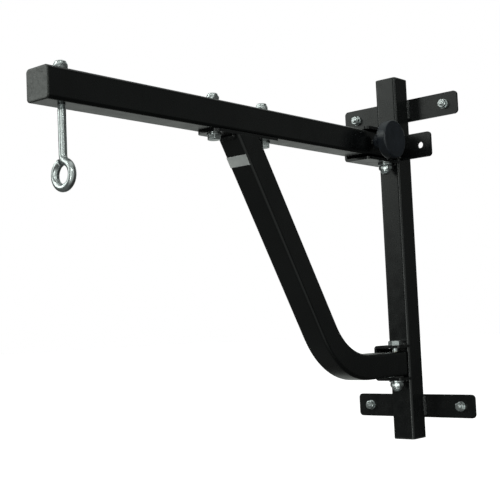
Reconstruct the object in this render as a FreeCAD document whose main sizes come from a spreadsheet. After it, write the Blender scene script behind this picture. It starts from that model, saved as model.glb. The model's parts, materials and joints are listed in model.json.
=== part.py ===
"""Wall bracket with a braced swing arm, a lock knob and a swivelling eye bolt, for hanging a punch bag.

Frame: X runs along the wall, Y into the wall (the wall's face is y = 0), Z up. The origin is on the
wall's face, in the middle of the four wall anchors. All lengths are in millimetres.
"""
import FreeCAD, Part
import Sketcher

import math
import os

Vector = FreeCAD.Vector

# Driving dimensions: alias, value, meaning.
DIMENSIONS = [
    ("tube_side", 40.0, "outside width of every square tube"),
    ("tube_wall", 2.5, "wall of every square tube"),
    ("tube_corner", 5.0, "outside corner radius of every square tube"),
    ("plate_thick", 4.0, "thickness of wall plates, ear and brace plate"),
    ("post_height", 605.0, "post with both of its end plugs"),
    ("post_foot_z", -302.0, "foot of the post"),
    ("plug_flange", 2.5, "visible thickness of an end plug"),
    ("plug_depth", 12.0, "length of an end plug inside its tube"),
    ("plug_slack", 0.2, "difference between an end plug and its tube's bore"),
    ("plate_width", 225.0, "length of a wall plate along the wall"),
    ("plate_height", 38.0, "height of a wall plate"),
    ("plate_corner", 6.5, "corner radius of a wall plate"),
    ("upper_plate_z", 250.0, "middle of the upper wall plate"),
    ("lower_plate_z", -250.0, "middle of the lower wall plate"),
    ("wall_hole_span", 175.0, "distance between the two wall holes of a plate"),
    ("anchor_depth", 30.0, "length of an anchor inside the wall"),
    ("anchor_stud", 8.0, "diameter of an anchor's shank, inside the wall"),
    ("anchor_thread", 7.6, "plain cylinder standing for an anchor's M8 thread, in front of the wall"),
    ("anchor_neck", 6.0, "diameter of an anchor's neck, under its expansion clip"),
    ("anchor_neck_long", 8.0, "length of that neck"),
    ("anchor_cone_long", 4.0, "length of the cone at an anchor's end"),
    ("anchor_clip", 7.2, "diameter of an anchor's expansion clip"),
    ("anchor_clip_long", 7.0, "length of that clip"),
    ("anchor_hole", 9.0, "diameter of a wall hole in its plate"),
    ("anchor_flats", 13.0, "width across flats of an anchor nut"),
    ("anchor_nut_high", 6.5, "height of an anchor nut"),
    ("anchor_washer", 16.0, "diameter of an anchor washer"),
    ("anchor_washer_thick", 1.6, "thickness of an anchor washer"),
    ("anchor_end", 4.0, "length of stud in front of an anchor nut"),
    ("channel_wall", 4.5, "thickness of the folded channels"),
    ("channel_web_x", -23.0, "inside face of a channel's web"),
    ("channel_lip_x", 21.0, "free edge of a channel's flanges"),
    ("channel_bend", 5.5, "outside bend radius of a channel"),
    ("channel_corner", 8.0, "corner radius of the upper channel's flanges"),
    ("channel_short_corner", 4.0, "corner radius of the lower channel's flanges"),
    ("upper_channel_long", 88.0, "how far the upper channel stands off the post"),
    ("upper_channel_gap", 45.0, "inside height of the upper channel"),
    ("lower_channel_long", 32.0, "how far the lower channel stands off the post"),
    ("lower_channel_gap", 48.5, "inside height of the lower channel"),
    ("lower_channel_z", -175.25, "middle of the lower channel"),
    ("pivot_x", 5.0, "swing axis, sideways from the post's centre line"),
    ("pivot_gap", 19.5, "swing axis, distance from the post's front face"),
    ("pivot_shank", 12.0, "diameter of a pivot bolt"),
    ("pivot_bore", 12.16, "bore of a pivot bush, a running fit on the bolt"),
    ("pivot_hole", 12.4, "hole for a pivot bolt in a channel"),
    ("pivot_bush", 16.0, "outside diameter of a pivot bush"),
    ("pivot_flats", 19.0, "width across flats of a pivot bolt's head and nut"),
    ("pivot_head_high", 7.5, "height of a pivot bolt's head"),
    ("pivot_nut_high", 12.0, "height of a pivot lock nut"),
    ("pivot_washer", 24.0, "diameter of a pivot washer"),
    ("pivot_washer_thick", 2.5, "thickness of a pivot washer"),
    ("pivot_end", 3.0, "length of bolt beyond a pivot nut"),
    ("thrust_slack", 0.1, "free play beside a thrust washer"),
    ("tube_tail", 9.5, "how far arm and brace reach behind the swing axis"),
    ("arm_z", 182.0, "arm's centre line"),
    ("arm_reach", 772.0, "distance from the wall to the arm's tip"),
    ("eye_y", -737.0, "eye bolt's axis"),
    ("eye_rod", 10.0, "diameter of the eye bolt's rod"),
    ("eye_hole", 10.16, "hole for the eye bolt, a running fit on its rod"),
    ("eye_top", 215.0, "top of the eye bolt"),
    ("eye_ring_z", 79.5, "middle of the eye"),
    ("eye_ring_radius", 15.5, "radius of the eye's centre line"),
    ("eye_neck_radius", 10.0, "radius of the bend between shank and eye"),
    ("eye_end_angle", 106.0, "where the eye's cut end stops, from +X upwards, in degrees"),
    ("fastener_shank", 10.0, "diameter of an M10 shank"),
    ("fastener_flats", 17.0, "width across flats of the M10 nuts and heads"),
    ("fastener_nut_high", 10.0, "height of an M10 lock nut"),
    ("fastener_head_high", 6.4, "height of an M10 head"),
    ("fastener_washer", 20.0, "diameter of an M10 washer"),
    ("fastener_washer_thick", 2.0, "thickness of an M10 washer"),
    ("fastener_hole", 10.5, "clearance hole for M10"),
    ("brace_plate_y", -424.0, "middle of the brace plate"),
    ("brace_plate_long", 136.0, "length of the brace plate"),
    ("brace_plate_corner", 10.0, "corner radius of the brace plate"),
    ("brace_bolt_span", 104.0, "distance between the two brace bolts"),
    ("brace_bolt_end", 0.5, "length of brace bolt beyond its nut"),
    ("brace_top_y", -424.8, "brace's centre line where it meets its plate"),
    ("brace_lean", 31.1, "lean of the brace from upright, in degrees"),
    ("brace_low_z", -177.0, "centre line of the brace's level part"),
    ("brace_bend", 118.0, "radius of the brace's bend on its centre line"),
    ("brace_overrun", 40.0, "extra brace length, cut off level with the plate"),
    ("label_wide", 36.0, "width of the blank label on the brace"),
    ("label_high", 16.0, "height of the blank label"),
    ("label_thick", 0.4, "thickness of the blank label"),
    ("label_drop", 26.3, "label's middle, along the brace from its plate's level"),
    ("ear_z", 181.0, "middle of the parking ear"),
    ("ear_front_y", -40.0, "front face of the parking ear"),
    ("ear_tip_x", 80.0, "outer end of the parking ear"),
    ("ear_high", 41.0, "height of the parking ear"),
    ("ear_corner", 6.0, "corner radius of the parking ear"),
    ("ear_hole", 10.6, "hole in the parking ear"),
    ("ear_hole_x", 60.0, "hole in the parking ear, from the post's centre line"),
    ("knob_y", -118.5, "lock knob's axis"),
    ("knob_stud", 10.0, "diameter of the lock knob's stud"),
    ("knob_hole", 11.0, "hole for that stud in the arm"),
    ("lock_hole", 10.2, "hole for that stud in the channel and its nut"),
    ("lock_nut_high", 8.0, "height of the weld nut on the channel"),
    ("knob_tip_x", -21.5, "tip of the stud with the knob backed off"),
    ("knob_hub_x", 28.0, "inner end of the knob's hub"),
    ("knob_disc_x", 45.0, "inner face of the knob's disc"),
    ("knob_face_x", 63.0, "outer face of the knob's disc"),
    ("knob_socket_x", 56.0, "how far the stud reaches into the knob"),
    ("knob_hub", 25.0, "diameter of the knob's hub"),
    ("knob_disc", 61.0, "diameter of the knob's disc"),
    ("knob_rim", 8.0, "width of the rim round the knob's dished face"),
    ("knob_dish", 2.0, "depth of the knob's dished face"),
    ("knob_round", 6.5, "rounding of the knob's disc"),
    ("lock_washer_thick", 1.8, "thickness of the loose washer under the knob"),
    ("weld_leg", 7.0, "reach of the large weld beads from their root"),
    ("small_weld_leg", 4.0, "reach of the small weld beads"),
    ("brace_weld_leg", 6.0, "reach of the weld bead behind the brace"),
    ("weld_root", 2.0, "how far a weld's root lies inside a tube's rounded corner"),
    ("weld_margin", 2.0, "plate left bare at each end of a weld"),
    ("chamfer_ratio", 0.95, "flat circle on a hexagon's end, as a share of its width across flats"),
]

doc = FreeCAD.newDocument("swing_arm_bracket")
sheet = doc.addObject("Spreadsheet::Sheet", "dims")
for row, (alias, number, meaning) in enumerate(DIMENSIONS, start=1):
    sheet.set(f"A{row}", meaning)
    sheet.set(f"B{row}", str(number))
    sheet.setAlias(f"B{row}", alias)
doc.recompute()

# Formulas that several pieces share.
POST_FRONT = "-(dims.plate_thick + dims.tube_side)"
POST_MIDDLE = "-(dims.plate_thick + dims.tube_side / 2)"
PIVOT_Y = f"({POST_FRONT} - dims.pivot_gap)"
TUBE_REAR = f"({PIVOT_Y} + dims.tube_tail)"
ARM_TOP = "(dims.arm_z + dims.tube_side / 2)"
ARM_BOTTOM = "(dims.arm_z - dims.tube_side / 2)"
BRACE_PLATE_BOTTOM = f"({ARM_BOTTOM} - dims.plate_thick)"
BORE_SIDE = "(dims.tube_side - 2 * dims.tube_wall)"
BORE_CORNER = "(dims.tube_corner - dims.tube_wall)"
UPPER_OUTSIDE = "(dims.upper_channel_gap / 2 + dims.channel_wall)"
LOWER_OUTSIDE = "(dims.lower_channel_gap / 2 + dims.channel_wall)"
CHANNEL_LEVELS = (("upper", "dims.arm_z", UPPER_OUTSIDE), ("lower", "dims.lower_channel_z", LOWER_OUTSIDE))

TO_WALL_FRONT = FreeCAD.Rotation(Vector(1, 0, 0), 90)      # turns +Z to -Y, out of the wall
UPSIDE_DOWN = FreeCAD.Rotation(Vector(1, 0, 0), 180)       # turns +Z to -Z
TO_RIGHT = FreeCAD.Rotation(Vector(0, 1, 0), 90)           # turns +Z to +X
TO_LEFT = FreeCAD.Rotation(Vector(0, 1, 0), -90)           # turns +Z to -X
ON_PLANE = 1e-6


def size(formula):
    """Number that a formula on the sheet stands for."""
    return float(sheet.evalExpression(str(formula)))


def bind(item, **formulas):
    """Bind properties of an object to formulas on the sheet."""
    for name, formula in formulas.items():
        item.setExpression(name, str(formula))
    return item


def place(item, x="0", y="0", z="0", turn=None):
    """Turn an object, then bind its position to three formulas."""
    if turn is not None:
        item.Placement = FreeCAD.Placement(Vector(), turn)
    for axis, formula in zip("xyz", (x, y, z)):
        item.setExpression(f"Placement.Base.{axis}", str(formula))
    return item


# ---------------------------------------------------------------- sketches

def new_body(label):
    body = doc.addObject("PartDesign::Body", label)
    body.Label = label
    return body


def new_sketch(body, name, role, shift=("0", "0", "0")):
    """Sketch on one of the body's own planes, moved by formulas in the sketch's own axes."""
    sketch = body.newObject("Sketcher::SketchObject", name)
    plane = next(item for item in body.Origin.OriginFeatures if item.Role == role)
    sketch.AttachmentSupport = (plane, "")
    sketch.MapMode = "FlatFace"
    for axis, formula in zip("xyz", shift):
        sketch.setExpression(f"AttachmentOffset.Base.{axis}", str(formula))
    return sketch


def constrain(sketch, kind, *where, formula=None):
    """Add a constraint, bound to a formula when it has a size."""
    if formula is None:
        sketch.addConstraint(Sketcher.Constraint(kind, *where))
        return
    index = sketch.addConstraint(Sketcher.Constraint(kind, *where, size(formula)))
    sketch.setExpression(f"Constraints[{index}]", str(formula))


def locate(sketch, edge, end, x, y):
    """Fix one point of a sketch at (x, y), both formulas, from the sketch's origin."""
    for kind, formula, axis in (("DistanceX", x, -2), ("DistanceY", y, -1)):
        where = size(formula)
        if abs(where) < ON_PLANE:
            constrain(sketch, "PointOnObject", edge, end, axis)
        elif where > 0:
            constrain(sketch, kind, -1, 1, edge, end, formula=formula)
        else:
            constrain(sketch, kind, edge, end, -1, 1, formula=f"-({formula})")


def draw_polygon(sketch, points):
    """Closed outline through points, each a pair of formulas."""
    corners = [Vector(size(x), size(y), 0) for x, y in points]
    count = len(corners)
    for index in range(count):
        sketch.addGeometry(Part.LineSegment(corners[index], corners[(index + 1) % count]), False)
    for index in range(count):
        constrain(sketch, "Coincident", index, 2, (index + 1) % count, 1)
    for index, (x, y) in enumerate(points):
        locate(sketch, index, 1, x, y)


def draw_rounded_rectangle(sketch, width, height, radius):
    """Rounded rectangle centred on the sketch's origin, its sizes given as formulas."""
    first = sketch.GeometryCount
    corner = size(radius)
    half_x = size(width) / 2 - corner
    half_y = size(height) / 2 - corner
    signs = ((1, -1), (1, 1), (-1, 1), (-1, -1))
    centres = [Vector(half_x * sign_x, half_y * sign_y) for sign_x, sign_y in signs]
    for index, centre in enumerate(centres):
        stop = index * math.pi / 2
        circle = Part.Circle(centre, Vector(0, 0, 1), corner)
        sketch.addGeometry(Part.ArcOfCircle(circle, stop - math.pi / 2, stop), False)
    for index, centre in enumerate(centres):
        outward = Vector(math.cos(index * math.pi / 2), math.sin(index * math.pi / 2)) * corner
        sketch.addGeometry(Part.LineSegment(centre + outward, centres[(index + 1) % 4] + outward), False)
    arcs = [first + index for index in range(4)]
    lines = [first + 4 + index for index in range(4)]
    for index in range(4):
        constrain(sketch, "Tangent", arcs[index], 2, lines[index], 1)
        constrain(sketch, "Tangent", lines[index], 2, arcs[(index + 1) % 4], 1)
    for index, kind in enumerate(("Vertical", "Horizontal", "Vertical", "Horizontal")):
        constrain(sketch, kind, lines[index])
    for arc in arcs[1:]:
        constrain(sketch, "Equal", arcs[0], arc)
    constrain(sketch, "Symmetric", arcs[0], 3, arcs[2], 3, -1, 1)
    constrain(sketch, "Radius", arcs[0], formula=radius)
    constrain(sketch, "DistanceX", lines[2], 1, lines[0], 1, formula=width)
    constrain(sketch, "DistanceY", lines[3], 1, lines[1], 1, formula=height)


def draw_circle(sketch, diameter):
    sketch.addGeometry(Part.Circle(Vector(), Vector(0, 0, 1), size(diameter) / 2), False)
    constrain(sketch, "Coincident", 0, 3, -1, 1)
    constrain(sketch, "Diameter", 0, formula=diameter)


# ---------------------------------------------------------------- features

def add_feature(body, kind, name, **formulas):
    feature = body.newObject(f"PartDesign::{kind}", name)
    bind(feature, **formulas)
    return feature


def pad(body, sketch, name, length):
    """Thicken a sketch along its own normal."""
    feature = add_feature(body, "Pad", name, Length=length)
    feature.Profile = sketch
    doc.recompute()
    return feature


def drill(body, name, role, diameter, x="0", y="0"):
    """Round hole right through the body, square to one of its planes."""
    sketch = new_sketch(body, f"{name}_sketch", role, (x, y, "0"))
    draw_circle(sketch, diameter)
    cut_through(body, sketch, name)


def cut_through(body, sketch, name):
    """Cut a sketch right through the body, both ways, and make sure that it took something away."""
    before = body.Shape.Volume
    feature = add_feature(body, "Pocket", name)
    feature.Profile = sketch
    feature.Type = "ThroughAll"
    feature.Midplane = True
    doc.recompute()
    if not body.Shape.Volume < before:
        raise RuntimeError(f"{name} cuts nothing")


def round_edges(body, name, radius, wanted):
    """Fillet the edges of the body whose middle point and direction pass a test."""
    base = body.Tip
    names = []
    for index, edge in enumerate(base.Shape.Edges, start=1):
        middle = edge.valueAt((edge.FirstParameter + edge.LastParameter) / 2)
        if wanted(edge, middle):
            names.append(f"Edge{index}")
    if not names:
        raise RuntimeError(f"{name} finds no edge")
    feature = add_feature(body, "Fillet", name, Radius=radius)
    feature.Base = (base, names)
    doc.recompute()


def runs_along(edge, direction):
    """Whether an edge is straight and parallel to a direction."""
    if not isinstance(edge.Curve, Part.Line):
        return False
    return abs(edge.Curve.Direction.dot(direction)) > 1 - ON_PLANE


def near(first, second):
    return abs(first - second) < 0.01


# ---------------------------------------------------------------- shared pieces

def square_tube(label, role, length):
    """Straight square tube that starts at the body's origin and runs along the plane's normal."""
    body = new_body(label)
    sketch = new_sketch(body, f"{label}_section", role)
    draw_rounded_rectangle(sketch, "dims.tube_side", "dims.tube_side", "dims.tube_corner")
    draw_rounded_rectangle(sketch, BORE_SIDE, BORE_SIDE, BORE_CORNER)
    pad(body, sketch, f"{label}_length", length)
    return body


def end_plug(label, turn, x="0", y="0", z="0"):
    """Plastic plug for a tube's end: flange outwards along local +Z, stem into the tube."""
    body = new_body(label)
    flange = new_sketch(body, f"{label}_flange_sketch", "XY_Plane")
    draw_rounded_rectangle(flange, "dims.tube_side", "dims.tube_side", "dims.tube_corner")
    pad(body, flange, f"{label}_flange", "dims.plug_flange")
    stem = new_sketch(body, f"{label}_stem_sketch", "XY_Plane", ("0", "0", "-dims.plug_depth"))
    stem_side = f"({BORE_SIDE} - dims.plug_slack)"
    draw_rounded_rectangle(stem, stem_side, stem_side, BORE_CORNER)
    pad(body, stem, f"{label}_stem", "dims.plug_depth")
    place(body, x, y, z, turn)


def cylinder(name, diameter, height, base="0"):
    item = doc.addObject("Part::Cylinder", name)
    bind(item, Radius=f"{diameter} / 2", Height=height)
    return place(item, z=base)


def combine(kind, name, base, tool):
    """Part::Cut or Part::Common of two objects, or Part::Fuse."""
    item = doc.addObject(f"Part::{kind}", name)
    item.Base = base
    item.Tool = tool
    return item


def ring(name, outside, bore, height):
    """Flat ring standing on z = 0."""
    disc = cylinder(f"{name}_disc", outside, height)
    return combine("Cut", name, disc, cylinder(f"{name}_bore", bore, height))


def hexagon(name, flats, height):
    """Hexagonal block standing on z = 0, with the corners of its top end turned off at 30 degrees."""
    prism = doc.addObject("Part::Prism", f"{name}_prism")
    prism.Polygon = 6
    bind(prism, Circumradius=f"{flats} / 2 / cos(30)", Height=height)
    cone = doc.addObject("Part::Cone", f"{name}_cone")
    top = f"{flats} * dims.chamfer_ratio / 2"
    bind(cone, Radius1=f"{top} + {height} * tan(60)", Radius2=top, Height=height)
    return combine("Common", name, prism, cone)


def nut(name, flats, height, bore):
    block = hexagon(f"{name}_hexagon", flats, height)
    return combine("Cut", name, block, cylinder(f"{name}_thread", bore, height))


def bolt(name, flats, head_high, shank, length):
    """Hexagon bolt: the shank runs down from z = 0, the head stands on z = 0."""
    head = hexagon(f"{name}_head", flats, head_high)
    return combine("Fuse", name, head, cylinder(f"{name}_shank", shank, f"{length}", f"-({length})"))


def gather(label, pieces):
    """One node made of several separate pieces."""
    group = doc.addObject("Part::Compound", f"{label}_group")
    group.Label = label
    group.Links = pieces


def repeat(label, master, places, turn=None):
    """One node made of several copies of a piece, each at three formulas."""
    copies = []
    for index, (x, y, z) in enumerate(places, start=1):
        copy = doc.addObject("App::Link", f"{label}_{index}")
        copy.LinkedObject = master
        copy.LinkTransform = False
        copies.append(place(copy, x, y, z, turn))
    gather(label, copies)


def single(label, item, x="0", y="0", z="0", turn=None):
    """Give a finished piece its node name and its place."""
    item.Label = label
    place(item, x, y, z, turn)


def weld_bead(name, tube, reach, length, outward, sideways, x, y, z):
    """Quarter-round bead from (x, y, z), between two directions, trimmed by the tube that it joins."""
    bar = doc.addObject("Part::Cylinder", f"{name}_bar")
    bar.Angle = 90
    bind(bar, Radius=reach, Height=length)
    along = outward.cross(sideways)
    place(bar, x, y, z, FreeCAD.Rotation(outward, sideways, along, "ZXY"))
    return combine("Cut", name, bar, tube)


# ---------------------------------------------------------------- wall frame

def make_post():
    post = square_tube("post_tube", "XY_Plane", "dims.post_height - 2 * dims.plug_flange")
    place(post, y=POST_MIDDLE, z="dims.post_foot_z + dims.plug_flange")
    end_plug("post_top_cap", None, y=POST_MIDDLE, z="dims.post_foot_z + dims.post_height - dims.plug_flange")
    end_plug("post_bottom_cap", UPSIDE_DOWN, y=POST_MIDDLE, z="dims.post_foot_z + dims.plug_flange")
    return post


def make_wall_plate(label, middle):
    body = new_body(label)
    sketch = new_sketch(body, f"{label}_outline", "XZ_Plane")
    draw_rounded_rectangle(sketch, "dims.plate_width", "dims.plate_height", "dims.plate_corner")
    pad(body, sketch, f"{label}_plate", "dims.plate_thick")
    for side, sign in (("left", "-"), ("right", "")):
        across = f"{sign}dims.wall_hole_span / 2"
        drill(body, f"{label}_{side}_hole", "XZ_Plane", "dims.anchor_hole", x=across)
    place(body, z=middle)


def make_anchor_stud():
    """Wedge anchor standing on its cone: cone, neck for the clip, full shank, then the thread."""
    shoulder = "(dims.anchor_cone_long + dims.anchor_neck_long)"
    threaded = "dims.plate_thick + dims.anchor_washer_thick + dims.anchor_nut_high + dims.anchor_end"
    neck = cylinder("anchor_neck", "dims.anchor_neck", shoulder)
    cone = doc.addObject("Part::Cone", "anchor_cone")
    bind(cone, Radius1="dims.anchor_stud / 2", Radius2="dims.anchor_neck / 2")
    bind(cone, Height="dims.anchor_cone_long")
    shank = cylinder("anchor_shank", "dims.anchor_stud", f"dims.anchor_depth - {shoulder}", shoulder)
    thread = cylinder("anchor_thread", "dims.anchor_thread", threaded, "dims.anchor_depth")
    tail = combine("Fuse", "anchor_tail", neck, cone)
    front = combine("Fuse", "anchor_front", shank, thread)
    return combine("Fuse", "anchor_stud", tail, front)


def make_anchors():
    """Four wedge anchors: stud and expansion clip in the wall, washer and nut on the plate."""
    spots = [(f"{sign}dims.wall_hole_span / 2", level)
             for level in ("dims.upper_plate_z", "dims.lower_plate_z") for sign in ("-", "")]
    clip_seat = "dims.anchor_depth - dims.anchor_cone_long"
    nut_seat = "-(dims.plate_thick + dims.anchor_washer_thick)"
    stud = make_anchor_stud()
    clip = ring("anchor_clip", "dims.anchor_clip", "dims.anchor_neck", "dims.anchor_clip_long")
    washer = ring("anchor_washer", "dims.anchor_washer", "dims.anchor_hole", "dims.anchor_washer_thick")
    anchor_nut = nut("anchor_nut", "dims.anchor_flats", "dims.anchor_nut_high", "dims.anchor_thread")
    pieces = (("wall_studs", stud, "dims.anchor_depth"), ("wall_clips", clip, clip_seat),
              ("wall_washers", washer, "-dims.plate_thick"), ("wall_nuts", anchor_nut, nut_seat))
    for label, master, seat in pieces:
        repeat(label, master, [(x, seat, z) for x, z in spots], TO_WALL_FRONT)


def make_plate_welds(post):
    beads = []
    front = Vector(0, -1, 0)
    length = "dims.plate_height - 2 * dims.weld_margin"
    root = "dims.tube_side / 2 - dims.weld_root"
    for level in ("upper", "lower"):
        bottom = f"dims.{level}_plate_z - dims.plate_height / 2 + dims.weld_margin"
        beads.append(weld_bead(f"{level}_right_bead", post, "dims.weld_leg", length, front, Vector(1, 0, 0),
                               root, "-dims.plate_thick", bottom))
        beads.append(weld_bead(f"{level}_left_bead", post, "dims.weld_leg", length, Vector(-1, 0, 0), front,
                               f"-({root})", "-dims.plate_thick", bottom))
    gather("plate_welds", beads)


def make_channel(label, length, outside, middle, corner):
    """Folded channel on the post's front: web at -X, flanges above and below, open towards +X."""
    body = new_body(label)
    profile = new_sketch(body, f"{label}_profile", "XZ_Plane")
    back = "dims.channel_web_x - dims.channel_wall"
    inside = f"({outside} - dims.channel_wall)"
    draw_polygon(profile, [
        (back, f"-{outside}"), ("dims.channel_lip_x", f"-{outside}"),
        ("dims.channel_lip_x", f"-{inside}"), ("dims.channel_web_x", f"-{inside}"),
        ("dims.channel_web_x", inside), ("dims.channel_lip_x", inside),
        ("dims.channel_lip_x", outside), (back, outside)])
    pad(body, profile, f"{label}_fold", length)
    along = Vector(0, 1, 0)
    upright = Vector(0, 0, 1)
    round_edges(body, f"{label}_outer_bends", "dims.channel_bend",
                lambda edge, middle: runs_along(edge, along) and near(middle.x, size(back)))
    round_edges(body, f"{label}_inner_bends", "dims.channel_bend - dims.channel_wall",
                lambda edge, middle: runs_along(edge, along) and near(middle.x, size("dims.channel_web_x")))
    round_edges(body, f"{label}_corners", corner,
                lambda edge, middle: runs_along(edge, upright) and near(middle.y, -size(length))
                and near(middle.x, size("dims.channel_lip_x")))
    drill(body, f"{label}_pivot_holes", "XY_Plane", "dims.pivot_hole", x="dims.pivot_x", y="-dims.pivot_gap")
    place(body, y=POST_FRONT, z=middle)
    return body


def make_channels():
    upper = make_channel("upper_bracket", "dims.upper_channel_long", UPPER_OUTSIDE, "dims.arm_z",
                         "dims.channel_corner")
    drill(upper, "upper_bracket_lock_hole", "YZ_Plane", "dims.lock_hole", x=f"dims.knob_y - ({POST_FRONT})")
    make_channel("lower_bracket", "dims.lower_channel_long", LOWER_OUTSIDE, "dims.lower_channel_z",
                 "dims.channel_short_corner")


def make_channel_welds(post):
    """Beads where each flange meets the post's front face, and between each web and the post's corner."""
    beads = []
    length = "dims.tube_side - 2 * dims.tube_corner"
    front = Vector(0, -1, 0)
    right = Vector(1, 0, 0)
    up = Vector(0, 0, 1)
    for level, middle, outside in CHANNEL_LEVELS:
        inside = f"({outside} - dims.channel_wall)"
        beads.append(weld_bead(f"{level}_web_bead", post, "dims.weld_leg", f"2 * {inside}", right, -front,
                               "dims.channel_web_x - dims.weld_root", POST_FRONT, f"{middle} - {inside}"))
        for side, first, second, sign in (("top", up, front, "+"), ("bottom", front, -up, "-")):
            bead = weld_bead(f"{level}_{side}_bead", post, "dims.small_weld_leg", length, first, second,
                             f"-({length}) / 2", POST_FRONT, f"{middle} {sign} {outside}")
            beads.append(bead)
    gather("bracket_welds", beads)


def make_ear(post):
    body = new_body("lock_ear")
    outline = new_sketch(body, "lock_ear_outline", "XZ_Plane")
    root = "dims.tube_side / 2"
    draw_polygon(outline, [(root, "-dims.ear_high / 2"), ("dims.ear_tip_x", "-dims.ear_high / 2"),
                           ("dims.ear_tip_x", "dims.ear_high / 2"), (root, "dims.ear_high / 2")])
    pad(body, outline, "lock_ear_plate", "dims.plate_thick")
    through = Vector(0, 1, 0)
    round_edges(body, "lock_ear_corners", "dims.ear_corner",
                lambda edge, middle: runs_along(edge, through) and near(middle.x, size("dims.ear_tip_x")))
    drill(body, "lock_ear_hole", "XZ_Plane", "dims.ear_hole", x="dims.ear_hole_x")
    place(body, y="dims.ear_front_y + dims.plate_thick", z="dims.ear_z")
    length = "dims.ear_high - 2 * dims.weld_margin"
    bottom = "dims.ear_z - dims.ear_high / 2 + dims.weld_margin"
    reach = "dims.small_weld_leg"
    right = Vector(1, 0, 0)
    front = weld_bead("ear_front_bead", post, reach, length, -through, right,
                      f"{root} - dims.weld_root / 2", "dims.ear_front_y", bottom)
    rear = weld_bead("ear_rear_bead", post, reach, length, right, through,
                     root, "dims.ear_front_y + dims.plate_thick", bottom)
    gather("ear_weld", [front, rear])


def make_lock_nut():
    weld_nut = nut("lock_nut_block", "dims.fastener_flats", "dims.lock_nut_high", "dims.lock_hole")
    seat = "dims.channel_web_x - dims.channel_wall"
    single("bracket_lock_nut", weld_nut, seat, "dims.knob_y", "dims.arm_z", TO_LEFT)


def make_pivot_bolts():
    """One bolt through each channel from above, with a washer and a lock nut underneath."""
    seats = []
    for level, middle, outside in CHANNEL_LEVELS:
        top = f"({middle} + {outside})"
        bottom = f"({middle} - {outside})"
        length = f"2 * {outside} + dims.pivot_washer_thick + dims.pivot_nut_high + dims.pivot_end"
        item = bolt(f"{level}_bolt", "dims.pivot_flats", "dims.pivot_head_high", "dims.pivot_shank", length)
        single(f"{level}_pivot_bolt", item, "dims.pivot_x", PIVOT_Y, top)
        seats.append(bottom)
    washer = ring("pivot_washer", "dims.pivot_washer", "dims.pivot_shank", "dims.pivot_washer_thick")
    repeat("pivot_washers", washer, [("dims.pivot_x", PIVOT_Y, seat) for seat in seats], UPSIDE_DOWN)
    lock_nut = nut("pivot_nut", "dims.pivot_flats", "dims.pivot_nut_high", "dims.pivot_shank")
    nut_seats = [("dims.pivot_x", PIVOT_Y, f"{seat} - dims.pivot_washer_thick") for seat in seats]
    repeat("pivot_nuts", lock_nut, nut_seats, UPSIDE_DOWN)


# ---------------------------------------------------------------- swing arm

def make_arm():
    rear = TUBE_REAR
    arm = square_tube("arm_tube", "XZ_Plane", f"dims.arm_reach - dims.plug_flange + {rear}")
    drill(arm, "arm_pivot_hole", "XY_Plane", "dims.pivot_bush", x="dims.pivot_x", y="-dims.tube_tail")
    drill(arm, "arm_knob_hole", "YZ_Plane", "dims.knob_hole", x=f"dims.knob_y - {rear}")
    for side, sign in (("rear", "+"), ("front", "-")):
        drill(arm, f"arm_{side}_bolt_hole", "XY_Plane", "dims.fastener_hole",
              y=f"dims.brace_plate_y {sign} dims.brace_bolt_span / 2 - {rear}")
    drill(arm, "arm_eye_hole", "XY_Plane", "dims.eye_hole", y=f"dims.eye_y - {rear}")
    place(arm, y=rear, z="dims.arm_z")
    end_plug("arm_end_cap", TO_WALL_FRONT, y="-(dims.arm_reach - dims.plug_flange)", z="dims.arm_z")


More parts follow.
